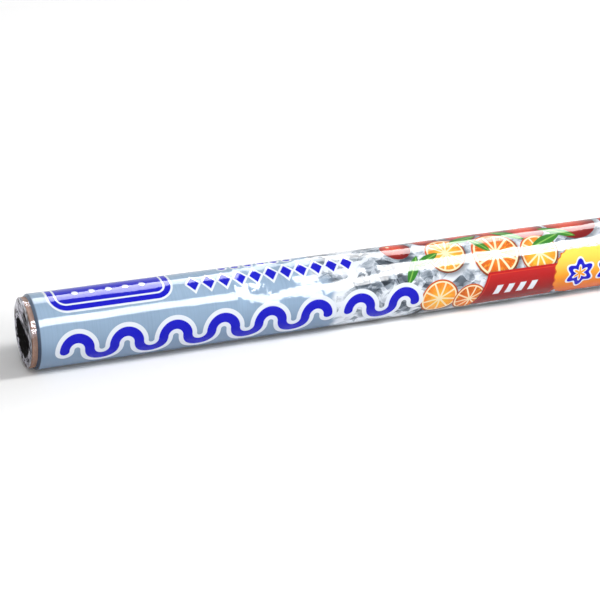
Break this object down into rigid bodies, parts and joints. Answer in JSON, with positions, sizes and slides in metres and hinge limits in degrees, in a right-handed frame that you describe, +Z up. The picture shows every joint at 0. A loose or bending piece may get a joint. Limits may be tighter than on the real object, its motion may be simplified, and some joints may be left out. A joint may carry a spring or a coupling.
{
  "type": "aluminium foil roll",
  "caption": "Household aluminium foil wound on a kraft board core, closed in a printed film wrap whose clear ends are gathered into the mouths of the core.",
  "frame": {"origin": "middle of the roll's length, on the surface it rests on", "axes": "+X along the roll from the end that shows open in the picture to the other, +Z up, the front of the print faces -Y"},
  "size_m": [0.2922, 0.0301, 0.0298],
  "materials": {
    "core_board": "matte",
    "foil": "satin",
    "printed_film": "gloss"
  },
  "bodies": {
    "root": {"core": "core_board", "foil_winding": "foil", "wrap_film": "printed_film"}
  },
  "joints": []
}
